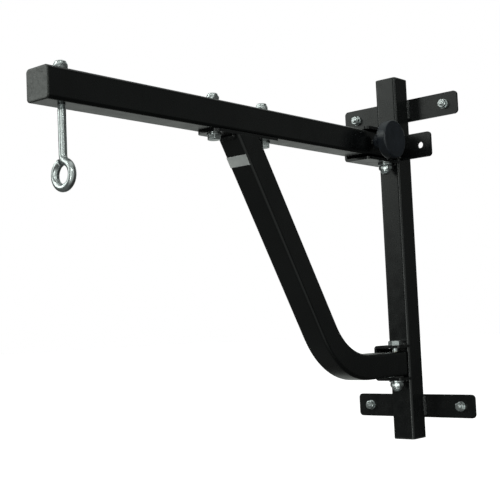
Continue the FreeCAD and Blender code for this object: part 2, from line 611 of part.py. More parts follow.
def make_brace():
    """Bent square tube. Its own origin is its rear end, on the centre line of its level part."""
    rear = TUBE_REAR
    bend = size("dims.brace_bend")
    rise = math.radians(90 - size("dims.brace_lean"))
    upward = Vector(-math.cos(rise), math.sin(rise))
    top_height = size(BRACE_PLATE_BOTTOM) - size("dims.brace_low_z")
    top = Vector(size("dims.brace_top_y") - size(rear), top_height)
    corner = top - upward * (top_height / upward.y)
    bend_start = corner + Vector(bend * math.tan(rise / 2), 0)
    bend_end = corner + upward * (bend * math.tan(rise / 2))
    bend_middle = bend_start + Vector(0, bend)
    cut_end = top + upward * size("dims.brace_overrun")

    body = new_body("brace_tube")
    spine = new_sketch(body, "brace_spine", "YZ_Plane")
    spine.addGeometry(Part.LineSegment(Vector(), bend_start), False)
    bend_circle = Part.Circle(bend_middle, Vector(0, 0, 1), bend)
    lowest = math.pi * 3 / 2
    spine.addGeometry(Part.ArcOfCircle(bend_circle, lowest - rise, lowest), False)
    spine.addGeometry(Part.LineSegment(bend_end, cut_end), False)
    constrain(spine, "Coincident", 0, 1, -1, 1)
    constrain(spine, "Horizontal", 0)
    constrain(spine, "Tangent", 0, 2, 1, 2)
    constrain(spine, "Tangent", 1, 1, 2, 1)
    constrain(spine, "Radius", 1, formula="dims.brace_bend")
    height = f"({BRACE_PLATE_BOTTOM} - dims.brace_low_z + dims.brace_overrun * cos(dims.brace_lean))"
    reach = f"(dims.brace_top_y - {rear} - dims.brace_overrun * sin(dims.brace_lean))"
    locate(spine, 2, 2, reach, height)
    spine.addConstraint(Sketcher.Constraint("Angle", -2, 2, size("dims.brace_lean") * math.pi / 180))
    spine.setExpression(f"Constraints[{spine.ConstraintCount - 1}]", "dims.brace_lean * 1 deg")
    for name, kind, side, radius in (("outside", "AdditivePipe", "dims.tube_side", "dims.tube_corner"),
                                     ("bore", "SubtractivePipe", BORE_SIDE, BORE_CORNER)):
        section = new_sketch(body, f"brace_{name}_section", "XZ_Plane")
        draw_rounded_rectangle(section, side, side, radius)
        pipe = add_feature(body, kind, f"brace_{name}")
        pipe.Profile = section
        pipe.Spine = (spine, ["Edge1", "Edge2", "Edge3"])
        doc.recompute()

    mitre_middle = f"{BRACE_PLATE_BOTTOM} - dims.brace_low_z + dims.brace_overrun"
    mitre = new_sketch(body, "brace_mitre_outline", "XZ_Plane", ("0", mitre_middle, "0"))
    draw_rounded_rectangle(mitre, "2 * dims.tube_side", "2 * dims.brace_overrun", "dims.tube_corner")
    cut_through(body, mitre, "brace_mitre")
    drill(body, "brace_pivot_hole", "XY_Plane", "dims.pivot_bush", x="dims.pivot_x", y="-dims.tube_tail")
    place(body, y=rear, z="dims.brace_low_z")
    return body


def make_brace_plate():
    body = new_body("brace_plate")
    outline = new_sketch(body, "brace_plate_outline", "XY_Plane")
    draw_rounded_rectangle(outline, "dims.tube_side", "dims.brace_plate_long", "dims.brace_plate_corner")
    pad(body, outline, "brace_plate_plate", "dims.plate_thick")
    for side, sign in (("rear", ""), ("front", "-")):
        along = f"{sign}dims.brace_bolt_span / 2"
        drill(body, f"brace_plate_{side}_hole", "XY_Plane", "dims.fastener_hole", y=along)
    place(body, y="dims.brace_plate_y", z=BRACE_PLATE_BOTTOM)


def make_brace_fasteners():
    """Two bolts up through the brace plate and the arm, with nuts on top of the arm."""
    spots = [f"dims.brace_plate_y {sign} dims.brace_bolt_span / 2" for sign in ("+", "-")]
    under = f"{BRACE_PLATE_BOTTOM} - dims.fastener_washer_thick"
    length = ("dims.tube_side + dims.plate_thick + 2 * dims.fastener_washer_thick + dims.fastener_nut_high"
              " + dims.brace_bolt_end")
    flats = "dims.fastener_flats"
    shank = "dims.fastener_shank"
    master = bolt("brace_bolt", flats, "dims.fastener_head_high", shank, length)
    washer = ring("m10_washer", "dims.fastener_washer", shank, "dims.fastener_washer_thick")
    m10_nut = nut("m10_nut", flats, "dims.fastener_nut_high", shank)
    repeat("brace_bolts", master, [("0", y, under) for y in spots], UPSIDE_DOWN)
    seats = [("0", y, z) for y in spots for z in (under, ARM_TOP)]
    repeat("brace_washers", washer, seats)
    repeat("brace_nuts", m10_nut, [("0", y, f"{ARM_TOP} + dims.fastener_washer_thick") for y in spots])
    repeat("eye_washer", washer, [("0", "dims.eye_y", ARM_TOP)])
    repeat("eye_nut", m10_nut, [("0", "dims.eye_y", f"{ARM_TOP} + dims.fastener_washer_thick")])


def make_brace_weld(brace):
    """Beads across the front and the rear of the brace, under its plate."""
    half_cut = "dims.tube_side / 2 / cos(dims.brace_lean)"
    length = "dims.tube_side - 2 * dims.tube_corner"
    left_end = f"-({length}) / 2"
    down = Vector(0, 0, -1)
    front_root = f"dims.brace_top_y - {half_cut} + dims.weld_root"
    rear_root = f"dims.brace_top_y + {half_cut} + dims.weld_root / 2"
    front = weld_bead("brace_front_bead", brace, "dims.weld_leg", length, Vector(0, -1, 0), down,
                      left_end, front_root, BRACE_PLATE_BOTTOM)
    rear = weld_bead("brace_rear_bead", brace, "dims.brace_weld_leg", length, down, Vector(0, 1, 0),
                     left_end, rear_root, BRACE_PLATE_BOTTOM)
    gather("brace_weld", [front, rear])


def make_label():
    """Blank label on the front face of the brace, drawn from its upper +X corner down the brace."""
    lean = math.radians(size("dims.brace_lean"))
    panel = doc.addObject("Part::Box", "label_panel")
    bind(panel, Length="dims.label_wide", Width="dims.label_high", Height="dims.label_thick")
    along = Vector(0, math.sin(lean), -math.cos(lean))
    outward = Vector(0, -math.cos(lean), -math.sin(lean))
    turn = FreeCAD.Rotation(along.cross(outward), along, outward, "ZXY")
    start = "(dims.label_drop - dims.label_high / 2)"
    half_side = "dims.tube_side / 2"
    start_y = f"dims.brace_top_y - {half_side} * cos(dims.brace_lean) + {start} * sin(dims.brace_lean)"
    start_z = f"{BRACE_PLATE_BOTTOM} - {half_side} * sin(dims.brace_lean) - {start} * cos(dims.brace_lean)"
    single("brace_label", panel, "dims.label_wide / 2", start_y, start_z, turn)


def make_pivot_bearings():
    """A bush through each tube, and thin washers between the tubes and the channels."""
    bush = ring("pivot_bush", "dims.pivot_bush", "dims.pivot_bore", "dims.tube_side")
    arm_gap = "((dims.upper_channel_gap - dims.tube_side) / 2 - dims.thrust_slack)"
    brace_floor = "(dims.lower_channel_z - dims.lower_channel_gap / 2)"
    brace_bottom = "(dims.brace_low_z - dims.tube_side / 2)"
    repeat("upper_pivot_bush", bush, [("dims.pivot_x", PIVOT_Y, ARM_BOTTOM)])
    repeat("lower_pivot_bush", bush, [("dims.pivot_x", PIVOT_Y, brace_bottom)])
    brace_gap = f"({brace_bottom} - {brace_floor} - dims.thrust_slack)"
    washers = []
    places = (("arm_top", arm_gap, ARM_TOP), ("arm_bottom", arm_gap, f"{ARM_BOTTOM} - {arm_gap}"),
              ("brace_bottom", brace_gap, f"{brace_floor} + dims.thrust_slack"))
    for name, thick, floor in places:
        washer = ring(f"{name}_thrust_washer", "dims.pivot_washer", "dims.pivot_bore", thick)
        washers.append(place(washer, "dims.pivot_x", PIVOT_Y, floor))
    gather("thrust_washers", washers)


# ---------------------------------------------------------------- lock knob

def make_knob():
    """Moulded grip turned about its own X axis, the stud moulded into it and the loose washer."""
    body = new_body("knob_grip")
    profile = new_sketch(body, "knob_profile", "XZ_Plane")
    dish_x = "dims.knob_face_x - dims.knob_dish"
    rim_radius = "dims.knob_disc / 2 - dims.knob_rim"
    draw_polygon(profile, [
        ("dims.knob_hub_x", "dims.knob_stud / 2"), ("dims.knob_hub_x", "dims.knob_hub / 2"),
        ("dims.knob_disc_x", "dims.knob_hub / 2"), ("dims.knob_disc_x", "dims.knob_disc / 2"),
        ("dims.knob_face_x", "dims.knob_disc / 2"), ("dims.knob_face_x", rim_radius),
        (dish_x, f"{rim_radius} - dims.knob_dish"), (dish_x, "0"),
        ("dims.knob_socket_x", "0"), ("dims.knob_socket_x", "dims.knob_stud / 2")])
    turned = add_feature(body, "Revolution", "knob_turned")
    turned.Profile = profile
    turned.ReferenceAxis = (profile, ["H_Axis"])
    turned.Angle = 360
    doc.recompute()
    disc_radius = size("dims.knob_disc") / 2
    round_edges(body, "knob_rounding", "dims.knob_round",
                lambda edge, middle: isinstance(edge.Curve, Part.Circle)
                and near(edge.Curve.Radius, disc_radius))
    place(body, y="dims.knob_y", z="dims.arm_z")

    stud = cylinder("knob_stud_rod", "dims.knob_stud", "dims.knob_socket_x - dims.knob_tip_x")
    single("knob_stud", stud, "dims.knob_tip_x", "dims.knob_y", "dims.arm_z", TO_RIGHT)
    washer = ring("knob_washer", "dims.fastener_washer", "dims.knob_hole", "dims.lock_washer_thick")
    washer_x = "dims.knob_hub_x - dims.lock_washer_thick"
    single("lock_washer", washer, washer_x, "dims.knob_y", "dims.arm_z", TO_RIGHT)


# ---------------------------------------------------------------- eye bolt

def make_eye_bolt():
    """One rod: straight shank, short bend sideways, then round the eye until its cut end meets the shank."""
    ring_radius = size("dims.eye_ring_radius")
    neck_radius = size("dims.eye_neck_radius")
    neck_height = math.sqrt(ring_radius ** 2 + 2 * ring_radius * neck_radius)
    meeting = math.atan2(neck_height, neck_radius)
    shank_top = size("dims.eye_top - dims.eye_ring_z")
    end_angle = math.radians(size("dims.eye_end_angle"))

    body = new_body("eye_bolt")
    spine = new_sketch(body, "eye_spine", "XZ_Plane")
    spine.addGeometry(Part.LineSegment(Vector(0, shank_top), Vector(0, neck_height)), False)
    neck = Part.Circle(Vector(neck_radius, neck_height), Vector(0, 0, 1), neck_radius)
    spine.addGeometry(Part.ArcOfCircle(neck, math.pi, math.pi + meeting), False)
    eye = Part.Circle(Vector(), Vector(0, 0, 1), ring_radius)
    spine.addGeometry(Part.ArcOfCircle(eye, end_angle, meeting + 2 * math.pi), False)
    constrain(spine, "PointOnObject", 0, 1, -2)
    constrain(spine, "Vertical", 0)
    constrain(spine, "DistanceY", -1, 1, 0, 1, formula="dims.eye_top - dims.eye_ring_z")
    constrain(spine, "Tangent", 0, 2, 1, 1)
    constrain(spine, "Tangent", 1, 2, 2, 2)
    constrain(spine, "Coincident", 2, 3, -1, 1)
    constrain(spine, "Radius", 1, formula="dims.eye_neck_radius")
    constrain(spine, "Radius", 2, formula="dims.eye_ring_radius")
    constrain(spine, "DistanceX", 2, 1, -1, 1, formula="-dims.eye_ring_radius * cos(dims.eye_end_angle)")
    section = new_sketch(body, "eye_section", "XY_Plane", ("0", "0", "dims.eye_top - dims.eye_ring_z"))
    draw_circle(section, "dims.eye_rod")
    rod = add_feature(body, "AdditivePipe", "eye_rod_bent")
    rod.Profile = section
    rod.Spine = (spine, ["Edge1", "Edge2", "Edge3"])
    doc.recompute()
    place(body, y="dims.eye_y", z="dims.eye_ring_z")


# ---------------------------------------------------------------- build, check and write

NODES = [
    "post_tube", "post_top_cap", "post_bottom_cap", "upper_wall_plate", "lower_wall_plate", "plate_welds",
    "wall_studs", "wall_clips", "wall_nuts", "wall_washers", "upper_bracket", "lower_bracket",
    "bracket_welds", "lock_ear", "ear_weld", "bracket_lock_nut", "upper_pivot_bolt", "lower_pivot_bolt",
    "pivot_washers", "pivot_nuts", "arm_tube", "arm_end_cap", "upper_pivot_bush", "lower_pivot_bush",
    "thrust_washers", "brace_tube", "brace_plate", "brace_weld", "brace_bolts", "brace_washers",
    "brace_nuts", "brace_label", "knob_grip", "knob_stud", "lock_washer", "eye_bolt", "eye_nut",
    "eye_washer",
]


def build_model():
    post = make_post()
    make_wall_plate("upper_wall_plate", "dims.upper_plate_z")
    make_wall_plate("lower_wall_plate", "dims.lower_plate_z")
    make_anchors()
    make_plate_welds(post)
    make_channels()
    make_channel_welds(post)
    make_ear(post)
    make_lock_nut()
    make_pivot_bolts()
    make_arm()
    brace = make_brace()
    make_brace_plate()
    make_brace_fasteners()
    make_brace_weld(brace)
    make_label()
    make_pivot_bearings()
    make_knob()
    make_eye_bolt()
    doc.recompute()


def write_nodes():
    """Stop on any failed object or bad shape, then write one file per node."""
    failed = [item.Name for item in doc.Objects if {"Invalid", "Error"} & set(item.State)]
    if failed:
        raise RuntimeError(f"failed objects: {failed}")
    shapes = {}
    for node in NODES:
        found = doc.getObjectsByLabel(node)
        if len(found) != 1 or found[0].Shape.isNull() or not found[0].Shape.isValid():
            raise RuntimeError(f"{node} is missing, doubled or not valid")
        shapes[node] = found[0].Shape
    os.makedirs("parts", exist_ok=True)
    for node, shape in shapes.items():
        shape.exportStep(f"parts/{node}.step")
        print(f"{node}: {len(shape.Solids)} solid(s), {shape.Volume:.0f} mm3")


build_model()
write_nodes()
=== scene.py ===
"""Swing-arm wall bracket for a punch bag: fine geometry, finishes, light and camera round the CAD frame.

Everything is in metres in the CAD frame: X along the wall, Y into the wall, Z up.
"""
import json
import math
import random

import bmesh
import bpy
from mathutils import Euler, Matrix, Vector, noise


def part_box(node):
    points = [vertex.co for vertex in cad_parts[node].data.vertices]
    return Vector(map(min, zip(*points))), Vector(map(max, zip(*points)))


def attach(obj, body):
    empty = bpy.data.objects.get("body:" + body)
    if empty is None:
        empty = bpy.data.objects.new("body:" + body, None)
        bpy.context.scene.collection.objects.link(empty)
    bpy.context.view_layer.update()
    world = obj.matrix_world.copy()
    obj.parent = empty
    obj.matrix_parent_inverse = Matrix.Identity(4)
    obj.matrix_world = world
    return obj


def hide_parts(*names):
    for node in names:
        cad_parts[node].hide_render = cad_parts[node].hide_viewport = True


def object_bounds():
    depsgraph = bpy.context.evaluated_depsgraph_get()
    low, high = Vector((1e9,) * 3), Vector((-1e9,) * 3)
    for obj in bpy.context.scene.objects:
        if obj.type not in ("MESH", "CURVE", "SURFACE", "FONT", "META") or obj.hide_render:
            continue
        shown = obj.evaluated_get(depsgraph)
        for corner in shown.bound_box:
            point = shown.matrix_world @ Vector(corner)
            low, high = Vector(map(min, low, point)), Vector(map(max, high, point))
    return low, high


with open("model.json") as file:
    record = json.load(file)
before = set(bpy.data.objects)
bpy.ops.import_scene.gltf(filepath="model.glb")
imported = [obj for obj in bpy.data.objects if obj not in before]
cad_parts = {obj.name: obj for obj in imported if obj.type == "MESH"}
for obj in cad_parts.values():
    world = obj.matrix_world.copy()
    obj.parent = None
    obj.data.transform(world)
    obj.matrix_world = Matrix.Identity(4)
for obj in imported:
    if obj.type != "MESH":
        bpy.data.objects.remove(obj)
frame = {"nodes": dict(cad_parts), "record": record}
cad_low, cad_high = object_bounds()

MM = 0.001
X, Y, Z = Vector((1, 0, 0)), Vector((0, 1, 0)), Vector((0, 0, 1))
TAU = 2 * math.pi

# The camera's place, its turn about X, Y and Z in degrees, and its lens and sensor in millimetres.
CAMERA_PLACE = (0.9247, -1.4827, -0.1062)
CAMERA_TURN = (94.34, 2.485, 40.988)
CAMERA_LENS = 73.0
SENSOR_WIDTH = 36.0

# Sizes that the CAD boxes don't show directly.
M8_PITCH = 1.25 * MM
M8_THREAD = 7.6 * MM
M10_PITCH = 1.5 * MM
M12_PITCH = 1.75 * MM
M10_RADIUS = 5.0 * MM
ANCHOR_NECK_RADIUS = 3.0 * MM
ANCHOR_CONE_LONG = 4.0 * MM
ANCHOR_SHOULDER = 12.0 * MM     # from an anchor's tip to its full shank
PIVOT_SHANK_SHARE = 12 / 19     # a pivot bolt's shank, as a share of its flats
PIVOT_WASHER_THICK = 2.5 * MM
PIVOT_END = 3.0 * MM            # length of bolt beyond a pivot nut
THREAD_RUN_OUT = 3.0 * MM       # thread above a channel's underside
BRACE_THREAD_RUN_OUT = 6.0 * MM
LOCK_NUT_BORE = 5.1 * MM
LOCK_WASHER_BORE = 5.5 * MM
LOCK_WASHER_PLAY = 0.03 * MM    # between the loose washer and the knob that turns on it
TUBE_CORNER = 5.0 * MM
EYE_NECK_RADIUS = 10.0 * MM
EYE_END_ANGLE = math.radians(106)
FLAT_SHARE = 0.475          # radius of the flat circle on a hexagon's end, as a share of its flats
WELD_ROOT = 2.0 * MM
WELD_MARGIN = 2.0 * MM
CHANNEL_WALL = 4.5 * MM
LARGE_WELD = 7.0 * MM
SMALL_WELD = 4.0 * MM
BRACE_REAR_WELD = 6.0 * MM
POLE = 0.2 * MM                 # small radius that closes a turned end


# ---------------------------------------------------------------- materials

def new_material(name):
    """Empty node material; returns it with its node tree and its Principled shader."""
    material = bpy.data.materials.new(name)
    material.use_nodes = True
    tree = material.node_tree
    shader = tree.nodes["Principled BSDF"]
    return material, tree, shader


def add_node(tree, kind, **inputs):
    node = tree.nodes.new(kind)
    for name, value in inputs.items():
        node.inputs[name.replace("_", " ")].default_value = value
    return node


def noise_value(tree, scale, detail=3.0, roughness=0.5):
    """Noise in object coordinates, so a grain keeps its real size on every piece."""
    place = tree.nodes.new("ShaderNodeTexCoord")
    grain = add_node(tree, "ShaderNodeTexNoise", Scale=scale, Detail=detail, Roughness=roughness)
    tree.links.new(place.outputs["Object"], grain.inputs["Vector"])
    return grain.outputs["Fac"]


def ramp(tree, value, stops):
    """Colour ramp over a value: stops are (position, colour)."""
    node = tree.nodes.new("ShaderNodeValToRGB")
    elements = node.color_ramp.elements
    while len(elements) < len(stops):
        elements.new(0.5)
    for element, (position, colour) in zip(elements, stops):
        element.position = position
        element.color = (*colour, 1.0)
    tree.links.new(value, node.inputs["Fac"])
    return node.outputs["Color"]


def spread(tree, value, low, high):
    """Map a 0..1 value to low..high."""
    node = add_node(tree, "ShaderNodeMapRange", To_Min=low, To_Max=high)
    node.inputs["From Min"].default_value = 0.3
    node.inputs["From Max"].default_value = 0.7
    tree.links.new(value, node.inputs["Value"])
    return node.outputs["Result"]


def bump(tree, shader, layers):
    """Stack bumps on a shader: layers are (height value, depth in metres, strength)."""
    previous = None
    for height, depth, strength in layers:
        node = add_node(tree, "ShaderNodeBump", Strength=strength, Distance=depth)
        tree.links.new(height, node.inputs["Height"])
        if previous is not None:
            tree.links.new(previous, node.inputs["Normal"])
        previous = node.outputs["Normal"]
    tree.links.new(previous, shader.inputs["Normal"])


def edge_mask(tree, radius):
    """1 near convex edges and 0 elsewhere, from how far a rounded normal leaves the true one."""
    rounded = add_node(tree, "ShaderNodeBevel", Radius=radius)
    rounded.samples = 4
    surface = tree.nodes.new("ShaderNodeNewGeometry")
    product = tree.nodes.new("ShaderNodeVectorMath")
    product.operation = "DOT_PRODUCT"
    tree.links.new(rounded.outputs["Normal"], product.inputs[0])
    tree.links.new(surface.outputs["Normal"], product.inputs[1])
    mask = add_node(tree, "ShaderNodeMapRange", To_Min=1.0, To_Max=0.0)
    mask.inputs["From Min"].default_value = 0.90
    mask.inputs["From Max"].default_value = 0.995
    tree.links.new(product.outputs["Value"], mask.inputs["Value"])
    return mask.outputs["Result"]


def mix_colour(tree, factor, first, second):
    node = tree.nodes.new("ShaderNodeMix")
    node.data_type = "RGBA"
    tree.links.new(factor, node.inputs["Factor"])
    for socket, colour in ((node.inputs[6], first), (node.inputs[7], second)):
        if isinstance(colour, tuple):
            socket.default_value = (*colour, 1.0)
        else:
            tree.links.new(colour, socket)
    return node.outputs[2]


def make_powder_coat(name, rough_low, rough_high, peel):
    """Satin black powder coat: fine orange peel, faint cloudiness, slightly paler on worn edges."""
    material, tree, shader = new_material(name)
    cloud = noise_value(tree, 14.0, detail=4.0)
    base = ramp(tree, cloud, ((0.35, (0.0038, 0.0044, 0.0047)), (0.65, (0.0060, 0.0068, 0.0070))))
    worn = mix_colour(tree, edge_mask(tree, 0.7 * MM), base, (0.020, 0.022, 0.024))
    tree.links.new(worn, shader.inputs["Base Color"])
    tree.links.new(spread(tree, noise_value(tree, 60.0), rough_low, rough_high), shader.inputs["Roughness"])
    shader.inputs["IOR"].default_value = 1.5
    bump(tree, shader, ((noise_value(tree, 850.0, detail=2.0), 0.05 * MM, peel),
                        (noise_value(tree, 120.0), 0.08 * MM, 0.10)))
    return material


def make_zinc(name, tint):
    """Bright zinc plate: mottled passivation, fine drawn grain, soft highlights."""
    material, tree, shader = new_material(name)
    mottle = noise_value(tree, 220.0, detail=5.0, roughness=0.6)
    warm = tuple(channel * 0.88 for channel in tint)
    base = ramp(tree, mottle, ((0.38, warm), (0.62, tint)))
    tree.links.new(base, shader.inputs["Base Color"])
    shader.inputs["Metallic"].default_value = 1.0
    tree.links.new(spread(tree, noise_value(tree, 300.0), 0.25, 0.36), shader.inputs["Roughness"])
    bump(tree, shader, ((noise_value(tree, 1500.0), 0.02 * MM, 0.05), (mottle, 0.03 * MM, 0.03)))
    return material


def make_plastic(name, tint, rough_low, rough_high):
    """Moulded plastic with a fine spark-eroded grain."""
    material, tree, shader = new_material(name)
    cloud = noise_value(tree, 40.0)
    base = ramp(tree, cloud, ((0.35, tint), (0.65, tuple(channel * 1.35 for channel in tint))))
    worn = mix_colour(tree, edge_mask(tree, 0.6 * MM), base, tuple(channel * 2.6 for channel in tint))
    tree.links.new(worn, shader.inputs["Base Color"])
    tree.links.new(spread(tree, noise_value(tree, 300.0), rough_low, rough_high), shader.inputs["Roughness"])
    bump(tree, shader, ((noise_value(tree, 2200.0, detail=1.0), 0.03 * MM, 0.35),))
    return material


def make_foil(name):
    """Blank silver label: brushed film with small creases."""
    material, tree, shader = new_material(name)
    streak = noise_value(tree, 90.0, detail=6.0)
    base = ramp(tree, streak, ((0.35, (0.66, 0.67, 0.67)), (0.65, (0.78, 0.79, 0.785))))
    tree.links.new(base, shader.inputs["Base Color"])
    shader.inputs["Metallic"].default_value = 0.25
    tree.links.new(spread(tree, noise_value(tree, 400.0), 0.35, 0.5), shader.inputs["Roughness"])
    bump(tree, shader, ((noise_value(tree, 160.0), 0.12 * MM, 0.35),))
    return material


def make_bronze(name):
    material, tree, shader = new_material(name)
    base = ramp(tree, noise_value(tree, 250.0), ((0.35, (0.42, 0.27, 0.10)), (0.65, (0.55, 0.38, 0.16))))
    tree.links.new(base, shader.inputs["Base Color"])
    shader.inputs["Metallic"].default_value = 1.0
    shader.inputs["Roughness"].default_value = 0.4
    bump(tree, shader, ((noise_value(tree, 900.0), 0.03 * MM, 0.3),))
    return material


PAINT = make_powder_coat("black_powder_coat_fine", 0.20, 0.30, 0.20)
WELD_PAINT = make_powder_coat("black_powder_coat_weld", 0.12, 0.22, 0.25)
ZINC = make_zinc("zinc_plate_fine", (0.65, 0.69, 0.695))
PLUG_PLASTIC = make_plastic("plug_plastic_fine", (0.024, 0.026, 0.024), 0.30, 0.42)
KNOB_PLASTIC = make_plastic("knob_plastic_fine", (0.0105, 0.0135, 0.0195), 0.30, 0.44)
BEARING_PLASTIC = make_plastic("bearing_plastic_fine", (0.014, 0.014, 0.014), 0.45, 0.6)
NYLON = make_plastic("nut_nylon_fine", (0.25, 0.27, 0.30), 0.4, 0.5)
FOIL = make_foil("label_foil_fine")
BRONZE = make_bronze("bush_bronze_fine")

SLOT_MATERIALS = {
    "black_powder_coat": PAINT, "zinc_plate": ZINC, "black_plastic": PLUG_PLASTIC,
    "washer_plastic": BEARING_PLASTIC, "bush_brass": BRONZE, "label_foil": FOIL,
}
NODE_SLOTS = {entry["node"]: entry["material_slot"] for entry in frame["record"]["subparts"]}


# ---------------------------------------------------------------- mesh helpers

def axis_frame(origin, along, first=None):
    """Matrix whose local Z runs along a direction; first, if given, is the local X direction."""
    along = along.normalized()
    if first is None:
        first = X if abs(along.x) < 0.9 else Y
    second = along.cross(first).normalized()
    first = second.cross(along)
    matrix = Matrix((first, second, along)).transposed().to_4x4()
    matrix.translation = origin
    return matrix


def skin(mesh, rings, wrap=False):
    """Join rings of equal length with quads; cap both ends unless the last ring joins the first (wrap)."""
    made = [[mesh.verts.new(point) for point in ring] for ring in rings]
    count = len(made[0])
    pairs = list(zip(made, made[1:]))
    if wrap:
        pairs.append((made[-1], made[0]))
    for low, high in pairs:
        for index in range(count):
            following = (index + 1) % count
            mesh.faces.new((low[index], low[following], high[following], high[index]))
    if not wrap:
        mesh.faces.new(list(reversed(made[0])))
        mesh.faces.new(made[-1])


def turned(mesh, matrix, profile, sides):
    """Revolve a profile about the matrix's Z. A profile point is (radius, z) or (function of angle, z)."""
    rings = []
    for radius, height in profile:
        ring = []
        for index in range(sides):
            angle = TAU * index / sides
            reach = radius(angle) if callable(radius) else radius
            level = height(angle) if callable(height) else height
            ring.append(matrix @ Vector((reach * math.cos(angle), reach * math.sin(angle), level)))
        rings.append(ring)
    skin(mesh, rings, wrap=True)


def rounded(corners, radius, steps=4):
    """Profile through (radius, z) corners, each inner corner replaced by a short arc-like curve."""
    points = [corners[0]]
    for before, corner, after in zip(corners, corners[1:], corners[2:]):
        here = Vector(corner)
        back = Vector(before) - here
        ahead = Vector(after) - here
        cut = min(radius, back.length * 0.45, ahead.length * 0.45)
        start = here + back.normalized() * cut
        end = here + ahead.normalized() * cut
        for step in range(steps + 1):
            share = step / steps
            bend = start.lerp(here, share).lerp(here.lerp(end, share), share)
            points.append((bend.x, bend.y))
    points.append(corners[-1])
    return points


def add_piece(name, mesh, body, slot, material, *nodes, sharp=32):
    """Turn a bmesh into a smooth piece that rides on a body and stands for CAD nodes."""
    bmesh.ops.remove_doubles(mesh, verts=mesh.verts, dist=1e-7)
    bmesh.ops.recalc_face_normals(mesh, faces=mesh.faces)
    data = bpy.data.meshes.new(name)
    mesh.to_mesh(data)
    mesh.free()
    data.shade_smooth()
    data.set_sharp_from_angle(angle=math.radians(sharp))
    piece = bpy.data.objects.new(name, data)
    bpy.context.scene.collection.objects.link(piece)
    data.materials.append(material)
    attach(piece, body)
    if nodes:
        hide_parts(*nodes)
    return piece


def soften(piece, width, segments=2):
    """Small bevel on every sharp edge, with normals that keep flat faces flat."""
    bevel = piece.modifiers.new("soft_edges", "BEVEL")
    bevel.width = width
    bevel.segments = segments
    bevel.limit_method = "ANGLE"
    bevel.angle_limit = math.radians(40)
    bevel.harden_normals = True


def middle(low, high):
    return (low + high) / 2


# ---------------------------------------------------------------- fasteners

HEX_SIDES = 96
HEX_BROKEN = 0.06 * MM          # taken off a hexagon's corners
ROD_SIDES = 40


def hexagon(flats):
    """Radius of a hexagon at an angle, its corners just broken."""
    limit = flats / 2 / math.cos(math.pi / 6) - HEX_BROKEN

    def radius(angle):
        return min(limit, flats / 2 / math.cos(angle % (math.pi / 3) - math.pi / 6))
    return radius




def add_hex_block(mesh, matrix, flats, height, bore, both_ends, collar=0.0):
    """Nut or bolt head on z = 0. The turned-off corners leave the arcs that a real hexagon has.

    A collar is the round crown of a lock nut, given as its height.
    """
    outline = hexagon(flats)
    face = flats * FLAT_SHARE
    slope = math.tan(math.radians(30))
    shoulder = height - collar

    def top(angle):
        return shoulder - (outline(angle) - face) * slope

    def bottom(angle):
        return (outline(angle) - face) * slope if both_ends else 0.0

    lead = 0.5 * MM
    profile = [(max(bore - lead, POLE) if bore else POLE, 0.0)]
    profile += [(face, 0.0)] if both_ends else []
    profile += [(outline, bottom), (outline, top), (face, shoulder)]
    if collar:
        crown = flats * 0.43
        profile += [(crown, shoulder + 0.1 * MM), (crown, height - collar * 0.45),
                    (crown - collar * 0.18, height - collar * 0.15), (crown - collar * 0.45, height)]
        face = crown - collar * 0.45
    profile += [(max(face - 0.35 * MM, bore + lead), height)]
    if bore:
        profile += [(bore + lead, height - 0.05 * MM), (bore, height - lead)]
    else:
        profile += [(POLE, height)]
    turned(mesh, matrix, profile, HEX_SIDES)


def add_washer(mesh, matrix, outside, bore, thick):
    edge = 0.25 * MM
    corners = [(bore, edge), (bore + edge, 0.0), (outside - edge, 0.0), (outside, edge),
               (outside, thick - edge), (outside - edge, thick), (bore + edge, thick), (bore, thick - edge)]
    turned(mesh, matrix, corners, 64)


def thread_radius(radius, pitch, angle, height):
    """Radius of a 60-degree thread with small flats on its crests and in its roots."""
    phase = (height / pitch - angle / TAU) % 1.0
    tooth = abs(2 * phase - 1)
    depth = 0.55 * pitch
    return radius - depth * min(1.0, max(0.0, (tooth - 0.12) / 0.76))


def add_threaded_rod(mesh, matrix, radius, pitch, low, high, plain_until=None):
    """Rod from low to high on the matrix's Z; the thread starts at plain_until and both ends are broken."""
    start = low if plain_until is None else plain_until
    end_break = 0.9 * pitch
    rows = max(2, int((high - start) / pitch * 7))
    levels = [] if plain_until is None else [low, low + 0.4 * MM]
    levels += [start + (high - start) * row / rows for row in range(rows + 1)]
    rings = []
    for level in levels:
        ring = []
        for index in range(ROD_SIDES):
            angle = TAU * index / ROD_SIDES
            reach = radius
            if level >= start:
                fade = 1.0 if plain_until is None else min(1.0, (level - start) / pitch)
                reach -= (radius - thread_radius(radius, pitch, angle, level)) * fade
            reach = min(reach, radius - end_break + (high - level), radius - end_break + (level - low))
            ring.append(matrix @ Vector((reach * math.cos(angle), reach * math.sin(angle), level)))
        rings.append(ring)
    skin(mesh, rings)


# ---------------------------------------------------------------- wall side

def wall_spots():
    """The four wall fixings, from the record's stud pattern."""
    mount = next(item for item in frame["record"]["mounts"] if item["name"] == "wall_anchors")
    across = mount["dims"]["spacing_x_mm"] * MM / 2
    up = mount["dims"]["spacing_y_mm"] * MM / 2
    return [Vector((side * across, 0, level * up)) for side in (-1, 1) for level in (-1, 1)]


